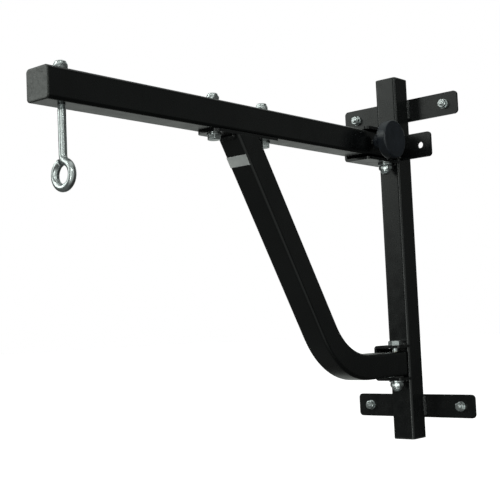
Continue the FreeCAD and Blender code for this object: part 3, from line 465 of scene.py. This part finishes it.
def make_wall_fixings():
    """Wedge anchors: shank, neck and cone in the wall, thread, washer and nut in front of it."""
    out = -Y
    nut_low, nut_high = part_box("wall_nuts")
    washer_low, washer_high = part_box("wall_washers")
    stud_low, stud_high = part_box("wall_studs")
    across = wall_spots()[-1].x
    washer_radius = washer_high.x - across
    stud_radius = stud_high.x - across
    flats = 2 * (nut_high.x - across)
    flats = min(flats, 2 * (nut_high.z - wall_spots()[-1].z))
    tip = -stud_high.y
    shoulder = tip + ANCHOR_SHOULDER
    thread = M8_THREAD / 2
    nuts, washers, studs = bmesh.new(), bmesh.new(), bmesh.new()
    spin = random.Random(5)
    for spot in wall_spots():
        turn = spin.uniform(0, math.pi)
        first = X * math.cos(turn) + Z * math.sin(turn)
        add_hex_block(nuts, axis_frame(spot + Y * nut_high.y, out, first), flats, nut_high.y - nut_low.y,
                      thread, True)
        add_washer(washers, axis_frame(spot + Y * washer_high.y, out), washer_radius, stud_radius,
                   washer_high.y - washer_low.y)
        turned(studs, axis_frame(spot, out), [
            (POLE, tip), (stud_radius, tip), (ANCHOR_NECK_RADIUS, tip + ANCHOR_CONE_LONG),
            (ANCHOR_NECK_RADIUS, shoulder), (stud_radius, shoulder), (stud_radius, 0.0),
            (POLE, 0.0)], ROD_SIDES)
        add_threaded_rod(studs, axis_frame(spot, out), thread, M8_PITCH, 0.0, -stud_low.y)
    add_piece("wall_nuts_formed", nuts, "wall_frame", "zinc_plate", ZINC, "wall_nuts")
    add_piece("wall_washers_formed", washers, "wall_frame", "zinc_plate", ZINC, "wall_washers")
    add_piece("wall_studs_threaded", studs, "wall_frame", "zinc_plate", ZINC, "wall_studs")


# Nylon ring of a lock nut: how deep it sits, how wide and how thick it is.
NYLON_DEEP = 1.2 * MM
NYLON_WIDE = 1.6 * MM
NYLON_THICK = 0.9 * MM


def make_pivot_bolts():
    """Hex-head bolts, washers between the brackets and the nuts, and lock nuts with a crown and a nylon
    ring.
    """
    nuts, washers, rings = bmesh.new(), bmesh.new(), bmesh.new()
    washer_low, washer_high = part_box("pivot_washers")
    nut_low, nut_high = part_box("pivot_nuts")
    washer_radius = (washer_high.x - washer_low.x) / 2
    flats = nut_high.y - nut_low.y
    for level in ("upper", "lower"):
        low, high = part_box(f"{level}_pivot_bolt")
        bracket_low, bracket_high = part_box(f"{level}_bracket")
        centre = middle(low, high)
        shank = (high.y - low.y) * PIVOT_SHANK_SHARE / 2
        under_head = bracket_high.z
        mesh = bmesh.new()
        head = axis_frame(Vector((centre.x, centre.y, under_head)), Z, X * 0.75 + Y * 0.66)
        add_hex_block(mesh, head, flats, high.z - under_head, 0.0, False)
        rod = axis_frame(Vector((centre.x, centre.y, 0)), -Z)
        thread_start = -bracket_low.z - THREAD_RUN_OUT
        add_threaded_rod(mesh, rod, shank, M12_PITCH, -under_head, -low.z, plain_until=thread_start)
        node = f"{level}_pivot_bolt"
        add_piece(f"{node}_formed", mesh, "wall_frame", "zinc_plate", ZINC, node)
        seat = Vector((centre.x, centre.y, bracket_low.z))
        add_washer(washers, axis_frame(seat, -Z), washer_radius, shank, PIVOT_WASHER_THICK)
        nut_seat = seat - Z * PIVOT_WASHER_THICK
        nut_tall = nut_seat.z - (low.z + PIVOT_END)
        add_hex_block(nuts, axis_frame(nut_seat, -Z, X * 0.92 + Y * 0.39), flats, nut_tall, shank, True,
                      collar=0.28 * nut_tall)
        ring_seat = nut_seat - Z * (nut_tall - NYLON_DEEP)
        add_washer(rings, axis_frame(ring_seat, -Z), shank + NYLON_WIDE, shank, NYLON_THICK)
    add_piece("pivot_washers_formed", washers, "wall_frame", "zinc_plate", ZINC, "pivot_washers")
    add_piece("pivot_nuts_formed", nuts, "wall_frame", "zinc_plate", ZINC, "pivot_nuts")
    add_piece("pivot_nut_nylon", rings, "wall_frame", "washer_plastic", NYLON)


def make_lock_nut():
    low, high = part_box("bracket_lock_nut")
    centre = middle(low, high)
    mesh = bmesh.new()
    seat = Vector((high.x, centre.y, centre.z))
    add_hex_block(mesh, axis_frame(seat, -X, Z), high.y - low.y, high.x - low.x, LOCK_NUT_BORE, True)
    add_piece("bracket_lock_nut_formed", mesh, "wall_frame", "black_powder_coat", PAINT, "bracket_lock_nut")


# ---------------------------------------------------------------- welds

def add_weld(mesh, start, end, first, second, reach, seed):
    """Rippled bead from start to end. Its root line is start-end; its legs run along first and second."""
    length = (end - start).length
    along = (end - start).normalized()
    rows = max(12, int(length / (0.35 * MM)))
    arc_steps = 10
    ripple = 2.1 * MM
    rings = []
    for row in range(rows + 1):
        travel = length * row / rows
        from_end = max(0.0, min(travel, length - travel))
        taper = min(1.0, 0.35 + 0.65 * math.sqrt(min(1.0, from_end / (2.2 * MM))))
        centre = start + along * travel
        ring = [centre]
        for step in range(arc_steps + 1):
            angle = math.pi / 2 * step / arc_steps
            crown = math.sin(2 * angle)
            wave = abs(math.sin(math.pi * (travel / ripple + 0.55 * crown + seed * 0.37)))
            grain = noise.noise(Vector((travel / (3.1 * MM), angle * 1.6, seed * 7.7)))
            leg = reach * taper * (0.84 + 0.06 * crown + 0.08 * wave * (0.4 + 0.6 * crown) + 0.10 * grain)
            ring.append(centre + (first * math.cos(angle) + second * math.sin(angle)) * leg)
        rings.append(ring)
    skin(mesh, rings)


def add_bead_piece(node, mesh, body):
    add_piece(f"{node}_beaded", mesh, body, "black_powder_coat", WELD_PAINT, node, sharp=60)


def make_welds():
    """Beads of the plates, the channels, the ear and the brace, as the CAD model places them."""
    post_low, post_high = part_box("post_tube")
    half = (post_high.x - post_low.x) / 2
    front = -Y

    mesh = bmesh.new()
    for seed, level in enumerate(("upper", "lower")):
        low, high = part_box(f"{level}_wall_plate")
        for side in (-1, 1):
            root = Vector((side * (half - WELD_ROOT), low.y, 0))
            add_weld(mesh, root + Z * (low.z + WELD_MARGIN), root + Z * (high.z - WELD_MARGIN),
                     X * side, front, LARGE_WELD, seed * 2 + side)
    add_bead_piece("plate_welds", mesh, "wall_frame")

    mesh = bmesh.new()
    run = half - TUBE_CORNER
    for seed, level in enumerate(("upper", "lower")):
        low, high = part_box(f"{level}_bracket")
        for height, upward in ((high.z, Z), (low.z, -Z)):
            start = Vector((-run, post_low.y, height))
            add_weld(mesh, start, start + X * 2 * run, upward, front, SMALL_WELD, 11 + seed * 2 + upward.z)
        root = Vector((low.x + CHANNEL_WALL - WELD_ROOT, post_low.y, 0))
        add_weld(mesh, root + Z * (low.z + CHANNEL_WALL), root + Z * (high.z - CHANNEL_WALL), X, Y,
                 LARGE_WELD, 15 + seed)
    add_bead_piece("bracket_welds", mesh, "wall_frame")

    mesh = bmesh.new()
    low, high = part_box("lock_ear")
    for depth, outward, inset, seed in ((low.y, front, WELD_ROOT / 2, 21), (high.y, Y, 0.0, 24)):
        root = Vector((half - inset, depth, 0))
        add_weld(mesh, root + Z * (low.z + WELD_MARGIN), root + Z * (high.z - WELD_MARGIN), X, outward,
                 SMALL_WELD, seed)
    add_bead_piece("ear_weld", mesh, "wall_frame")

    mesh = bmesh.new()
    low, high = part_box("brace_weld")
    for y, outward, reach, seed in ((low.y, front, LARGE_WELD, 31), (high.y, Y, BRACE_REAR_WELD, 35)):
        start = Vector((-run, y - outward.y * reach, high.z))
        add_weld(mesh, start, start + X * 2 * run, outward, -Z, reach, seed)
    add_bead_piece("brace_weld", mesh, "swing_arm")


# ---------------------------------------------------------------- arm fasteners and plugs

def arm_spots():
    """Centres of the two brace bolts, from their nuts."""
    low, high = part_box("brace_nuts")
    half_flats = (high.x - low.x) / 2 * math.cos(math.pi / 6)
    return [Vector((0, low.y + half_flats, 0)), Vector((0, high.y - half_flats, 0))], half_flats * 2


def make_brace_fasteners():
    spots, flats = arm_spots()
    bolt_low, bolt_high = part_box("brace_bolts")
    nut_low, nut_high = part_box("brace_nuts")
    washer_low, washer_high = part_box("brace_washers")
    washer_radius = (washer_high.x - washer_low.x) / 2
    washer_thick = nut_low.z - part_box("arm_tube")[1].z
    bolts, nuts, washers = bmesh.new(), bmesh.new(), bmesh.new()
    for index, spot in enumerate(spots):
        turn = 0.35 + 0.8 * index
        first = X * math.cos(turn) + Y * math.sin(turn)
        under_head = washer_low.z
        head = axis_frame(spot + Z * under_head, -Z, first)
        add_hex_block(bolts, head, flats, under_head - bolt_low.z, 0.0, False)
        add_threaded_rod(bolts, axis_frame(spot, Z), M10_RADIUS, M10_PITCH, under_head, bolt_high.z,
                         plain_until=nut_low.z - BRACE_THREAD_RUN_OUT)
        add_hex_block(nuts, axis_frame(spot + Z * nut_low.z, Z, first), flats, nut_high.z - nut_low.z,
                      M10_RADIUS, True, collar=0.34 * (nut_high.z - nut_low.z))
        for seat in (washer_low.z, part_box("arm_tube")[1].z):
            add_washer(washers, axis_frame(spot + Z * seat, Z), washer_radius, M10_RADIUS, washer_thick)
    add_piece("brace_bolts_formed", bolts, "swing_arm", "zinc_plate", ZINC, "brace_bolts")
    add_piece("brace_nuts_formed", nuts, "swing_arm", "zinc_plate", ZINC, "brace_nuts")
    add_piece("brace_washers_formed", washers, "swing_arm", "zinc_plate", ZINC, "brace_washers")


def square_ring(matrix, half, corner, level, steps=8):
    """Rounded square of points at a level of the matrix's Z."""
    points = []
    for quarter in range(4):
        centre_angle = math.pi / 4 + quarter * math.pi / 2
        away = (half - corner) * math.sqrt(2)
        centre = Vector((away * math.cos(centre_angle), away * math.sin(centre_angle), level))
        for step in range(steps + 1):
            angle = quarter * math.pi / 2 + math.pi / 2 * step / steps
            points.append(matrix @ (centre + Vector((math.cos(angle), math.sin(angle), 0)) * corner))
    return points


def make_plug(node, body, outward):
    """End plug: flange with a rounded rim and a slightly sunk panel, stem with lead-in inside the tube."""
    low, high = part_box(node)
    centre = middle(low, high)
    half = (high.x - low.x) / 2
    span = abs((high - low).dot(outward))
    flange = 2.5 * MM
    stem_half = half - 2.6 * MM
    outer_end = centre + outward * (span / 2)
    matrix = axis_frame(outer_end, outward)
    rim = 1.3 * MM
    steps = 5
    rings = [square_ring(matrix, stem_half - 1.0 * MM, 1.5 * MM, -span),
             square_ring(matrix, stem_half, 2.5 * MM, -span + 1.2 * MM),
             square_ring(matrix, stem_half, 2.5 * MM, -flange),
             square_ring(matrix, half - 0.25 * MM, TUBE_CORNER - 0.25 * MM, -flange),
             square_ring(matrix, half, TUBE_CORNER, -flange + 0.25 * MM)]
    for step in range(steps + 1):
        angle = math.pi / 2 * step / steps
        inset = rim * (1 - math.cos(angle))
        rings.append(square_ring(matrix, half - inset, TUBE_CORNER - inset, -rim + rim * math.sin(angle)))
    for inset, drop in ((3.2 * MM, 0.0), (4.2 * MM, 0.06 * MM), (12.0 * MM, 0.10 * MM)):
        corner = max(TUBE_CORNER - inset, 1.5 * MM)
        rings.append(square_ring(matrix, half - inset, corner, -drop))
    mesh = bmesh.new()
    skin(mesh, rings)
    add_piece(f"{node}_moulded", mesh, body, "black_plastic", PLUG_PLASTIC, node)


# ---------------------------------------------------------------- lock knob

def make_knob():
    """Moulded grip with a well-rounded disc and a shallow dish, its threaded stud, and the loose washer."""
    low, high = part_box("knob_grip")
    centre = middle(low, high)
    stud_low, stud_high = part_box("knob_stud")
    stud_radius = (stud_high.z - stud_low.z) / 2
    disc = (high.z - low.z) / 2
    depth = high.x - low.x
    disc_start = depth - 18.0 * MM
    hub = 12.5 * MM
    halfway = 18.0 * MM
    rim = disc - 8.0 * MM
    dish = 2.0 * MM
    socket = stud_high.x - low.x
    profile = rounded([(stud_radius, 0.0), (hub, 0.0), (hub, disc_start), (halfway, disc_start)], 2.0 * MM)
    disc_side = [(halfway, disc_start), (disc, disc_start), (disc, depth), (rim, depth)]
    profile += rounded(disc_side, 6.5 * MM, steps=10)[1:]
    for step in range(1, 21):
        radius = rim * (1 - 0.985 * step / 20)
        profile.append((radius, depth - dish * (0.5 + 0.5 * math.cos(math.pi * radius / rim))))
    profile += [(0.3 * MM, socket), (stud_radius, socket)]
    mesh = bmesh.new()
    turned(mesh, axis_frame(Vector((low.x, centre.y, centre.z)), X), profile, 128)
    add_piece("knob_grip_moulded", mesh, "lock_knob", "black_plastic", KNOB_PLASTIC, "knob_grip",
              sharp=50)

    mesh = bmesh.new()
    matrix = axis_frame(Vector((0, centre.y, centre.z)), -X)
    thread_start = -low.x + 1 * MM
    add_threaded_rod(mesh, matrix, stud_radius, M10_PITCH, -stud_high.x, -stud_low.x,
                     plain_until=thread_start)
    add_piece("knob_stud_threaded", mesh, "lock_knob", "black_powder_coat", PAINT, "knob_stud")

    low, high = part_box("lock_washer")
    mesh = bmesh.new()
    add_washer(mesh, axis_frame(Vector((low.x, centre.y, centre.z)), X), (high.z - low.z) / 2,
               LOCK_WASHER_BORE, high.x - low.x - LOCK_WASHER_PLAY)
    add_piece("lock_washer_formed", mesh, "lock_carrier", "black_powder_coat", PAINT, "lock_washer")


# ---------------------------------------------------------------- eye bolt

def make_eye_bolt():
    """Threaded rod bent to an eye along the CAD model's own centre line, with its nut and washer."""
    low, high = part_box("eye_bolt")
    rod = (high.y - low.y) / 2
    eye = high.x - rod
    centre = Vector((0, middle(low, high).y, low.z + high.x))
    neck_height = math.sqrt(eye ** 2 + 2 * eye * EYE_NECK_RADIUS)
    meeting = math.atan2(neck_height, EYE_NECK_RADIUS)
    thread_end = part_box("arm_tube")[0].z - 6 * MM

    path = []       # (point, tangent, height for the thread or None)
    rows = int((high.z - thread_end) / M10_PITCH * 7)
    for row in range(rows + 1):
        level = high.z + (thread_end - high.z) * row / rows
        path.append((Vector((0, 0, level - centre.z)), -Z, level))
    for share in (0.25, 0.5, 0.75):
        level = thread_end - centre.z + (neck_height - thread_end + centre.z) * share
        path.append((Vector((0, 0, level)), -Z, None))
    for step in range(13):
        angle = math.pi + meeting * step / 12
        around = Vector((math.cos(angle), 0, math.sin(angle)))
        point = Vector((EYE_NECK_RADIUS, 0, neck_height)) + around * EYE_NECK_RADIUS
        path.append((point, Vector((-math.sin(angle), 0, math.cos(angle))), None))
    sweep = meeting + TAU - EYE_END_ANGLE
    for step in range(1, 97):
        angle = meeting - sweep * step / 96
        around = Vector((math.cos(angle), 0, math.sin(angle)))
        path.append((around * eye, Vector((math.sin(angle), 0, -math.cos(angle))), None))

    sides = 36
    rings = []
    last = len(path) - 1
    for index, (point, tangent, level) in enumerate(path):
        side = Y.cross(tangent).normalized()
        broken = 1.0 - (0.12 if index == last else 0.0)
        ring = []
        for turn in range(sides):
            angle = TAU * turn / sides
            reach = rod * broken
            if level is not None:
                fade = min(1.0, (level - thread_end) / M10_PITCH)
                reach -= (rod - thread_radius(rod, M10_PITCH, angle, level)) * fade
                reach = min(reach, rod - M10_PITCH + (high.z - level))
            ring.append(centre + point + (side * math.cos(angle) + Y * math.sin(angle)) * reach)
        rings.append(ring)
    mesh = bmesh.new()
    skin(mesh, rings)
    add_piece("eye_bolt_threaded", mesh, "eye_hanger", "zinc_plate", ZINC, "eye_bolt")

    nut_low, nut_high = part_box("eye_nut")
    mesh = bmesh.new()
    seat = Vector((0, centre.y, nut_low.z))
    tall = nut_high.z - nut_low.z
    add_hex_block(mesh, axis_frame(seat, Z, X * 0.94 + Y * 0.34), nut_high.y - nut_low.y, tall, rod, True,
                  collar=0.3 * tall)
    add_piece("eye_nut_formed", mesh, "eye_hanger", "zinc_plate", ZINC, "eye_nut")
    washer_low, washer_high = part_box("eye_washer")
    mesh = bmesh.new()
    add_washer(mesh, axis_frame(Vector((0, centre.y, washer_low.z)), Z), washer_high.x, rod,
               washer_high.z - washer_low.z)
    add_piece("eye_washer_formed", mesh, "eye_hanger", "zinc_plate", ZINC, "eye_washer")


# ---------------------------------------------------------------- pieces kept from the CAD model

SOFT_EDGED = ("upper_wall_plate", "lower_wall_plate", "upper_bracket", "lower_bracket", "lock_ear",
              "brace_plate", "brace_label")


def finish_cad_nodes():
    """Give every CAD node its fine material and smooth shading; soften the cut edges of the plates."""
    for node, piece in frame["nodes"].items():
        material = SLOT_MATERIALS[NODE_SLOTS[node]]
        if not piece.material_slots:
            piece.data.materials.append(material)
        for place in piece.material_slots:
            place.material = material
        piece.data.shade_smooth()
        piece.data.set_sharp_from_angle(angle=math.radians(32))
        if node in SOFT_EDGED:
            soften(piece, 0.1 * MM if node == "brace_label" else 0.5 * MM)
        weighted = piece.modifiers.new("flat_faces", "WEIGHTED_NORMAL")
        weighted.keep_sharp = True
        weighted.weight = 100


# ---------------------------------------------------------------- stage

FLOOR_GLOW = 0.62


def make_floor():
    """Wide pale floor, well below the bracket, which hangs on a wall that isn't shown."""
    level = cad_low.z - 0.45
    reach = 30.0
    data = bpy.data.meshes.new("floor")
    signs = ((-1, -1), (1, -1), (1, 1), (-1, 1))
    corners = [(reach * across, reach * along, level) for across, along in signs]
    data.from_pydata(corners, [], [(0, 1, 2, 3)])
    floor = bpy.data.objects.new("floor", data)
    bpy.context.scene.collection.objects.link(floor)
    material, tree, shader = new_material("pale_floor")
    base = ramp(tree, noise_value(tree, 1.5), ((0.3, (0.92, 0.885, 0.91)), (0.7, (0.94, 0.905, 0.93))))
    tree.links.new(base, shader.inputs["Base Color"])
    shader.inputs["Roughness"].default_value = 0.9
    shader.inputs["Emission Color"].default_value = (1.0, 1.0, 1.0, 1.0)
    shader.inputs["Emission Strength"].default_value = FLOOR_GLOW
    data.materials.append(material)
    floor.visible_glossy = False
    floor.visible_diffuse = False


def direction_lobe(tree, direction, towards, low, high, power):
    """Brightness that rises smoothly as a direction turns towards another, up to a power."""
    product = tree.nodes.new("ShaderNodeVectorMath")
    product.operation = "DOT_PRODUCT"
    tree.links.new(direction, product.inputs[0])
    product.inputs[1].default_value = Vector(towards).normalized()
    lobe = add_node(tree, "ShaderNodeMapRange", To_Min=0.0, To_Max=power)
    lobe.interpolation_type = "SMOOTHSTEP"
    lobe.inputs["From Min"].default_value = low
    lobe.inputs["From Max"].default_value = high
    tree.links.new(product.outputs["Value"], lobe.inputs["Value"])
    return lobe.outputs["Result"]


# Soft studio light as (direction, edge cosine, full cosine, power): a softbox ahead and to the left, a
# pale backdrop low behind the bracket, an overhead panel, a wide fill from the camera's side, light
# thrown back by the floor, two weak panels behind, right and left, and a small panel that lights the
# arm's end. The five narrow lamps after them only make glints on bright metal and on the weld beads.
SOFT_LIGHTS = (
    ((-0.655, -0.655, 0.375), 0.9135, 0.9925, 1.9),
    ((-0.72, 0.66, -0.22), 0.88, 0.98, 0.36),
    ((0.0, 0.0, 1.0), 0.55, 0.95, 0.7),
    ((0.75, -0.62, -0.10), 0.50, 0.95, 0.50),
    ((-0.50, -0.50, -0.70), 0.50, 0.95, 0.08),
    ((0.72, 0.67, 0.16), 0.94, 0.99, 0.10),
    ((-0.25, 0.90, 0.38), 0.88, 0.98, 0.6),
    ((-0.78, -0.51, 0.36), 0.975, 0.996, 1.6),
    ((-0.30, -0.76, 0.58), 0.9945, 0.9986, 9.0),
    ((0.55, -0.70, 0.45), 0.9945, 0.9986, 9.0),
    ((-0.90, -0.10, 0.42), 0.9945, 0.9986, 7.0),
    ((0.90, -0.20, 0.38), 0.9945, 0.9986, 7.0),
    ((0.30, -0.93, -0.20), 0.9945, 0.9986, 5.0),
)
# An upright strip light: directions are squashed in height before they meet its lobe, so it stands tall.
STRIP_LIGHT = ((0.25, -0.97, 0.0), 0.985, 0.998, 2.5)
STRIP_SQUASH = (1.0, 1.0, 0.3)
BASE_LIGHT = 0.04
BACKGROUND = (1.0, 1.0, 1.0)
LIGHT_TINT = (0.94, 1.0, 0.95)


def make_studio():
    """World light from a few soft lobes; the camera itself sees a plain white backdrop."""
    world = bpy.data.worlds.new("studio")
    bpy.context.scene.world = world
    world.use_nodes = True
    tree = world.node_tree
    tree.nodes.clear()
    direction = tree.nodes.new("ShaderNodeTexCoord").outputs["Generated"]
    heading = tree.nodes.new("ShaderNodeVectorMath")
    heading.operation = "MULTIPLY"
    heading.inputs[1].default_value = STRIP_SQUASH
    tree.links.new(direction, heading.inputs[0])
    level = tree.nodes.new("ShaderNodeVectorMath")
    level.operation = "NORMALIZE"
    tree.links.new(heading.outputs["Vector"], level.inputs[0])
    total = direction_lobe(tree, level.outputs["Vector"], *STRIP_LIGHT)
    for light in SOFT_LIGHTS:
        lobe = direction_lobe(tree, direction, *light)
        join = tree.nodes.new("ShaderNodeMath")
        join.operation = "ADD"
        tree.links.new(total, join.inputs[0])
        tree.links.new(lobe, join.inputs[1])
        total = join.outputs["Value"]
    lift = tree.nodes.new("ShaderNodeMath")
    lift.operation = "ADD"
    lift.inputs[1].default_value = BASE_LIGHT
    tree.links.new(total, lift.inputs[0])
    studio = tree.nodes.new("ShaderNodeBackground")
    studio.inputs["Color"].default_value = (*LIGHT_TINT, 1.0)
    tree.links.new(lift.outputs["Value"], studio.inputs["Strength"])
    backdrop = tree.nodes.new("ShaderNodeBackground")
    backdrop.inputs["Color"].default_value = (*BACKGROUND, 1.0)
    path = tree.nodes.new("ShaderNodeLightPath")
    choose = tree.nodes.new("ShaderNodeMixShader")
    tree.links.new(path.outputs["Is Camera Ray"], choose.inputs["Fac"])
    tree.links.new(studio.outputs["Background"], choose.inputs[1])
    tree.links.new(backdrop.outputs["Background"], choose.inputs[2])
    output = tree.nodes.new("ShaderNodeOutputWorld")
    tree.links.new(choose.outputs["Shader"], output.inputs["Surface"])
    bpy.context.scene.view_settings.view_transform = "Standard"


def make_camera():
    data = bpy.data.cameras.new("camera")
    data.lens = CAMERA_LENS
    data.sensor_width = SENSOR_WIDTH
    camera = bpy.data.objects.new("camera", data)
    camera.location = CAMERA_PLACE
    camera.rotation_euler = Euler([math.radians(angle) for angle in CAMERA_TURN])
    bpy.context.scene.collection.objects.link(camera)
    bpy.context.scene.camera = camera


finish_cad_nodes()
make_wall_fixings()
make_pivot_bolts()
make_lock_nut()
make_welds()
make_brace_fasteners()
make_plug("post_top_cap", "wall_frame", Z)
make_plug("post_bottom_cap", "wall_frame", -Z)
make_plug("arm_end_cap", "swing_arm", -Y)
make_knob()
make_eye_bolt()
make_floor()
make_studio()
make_camera()
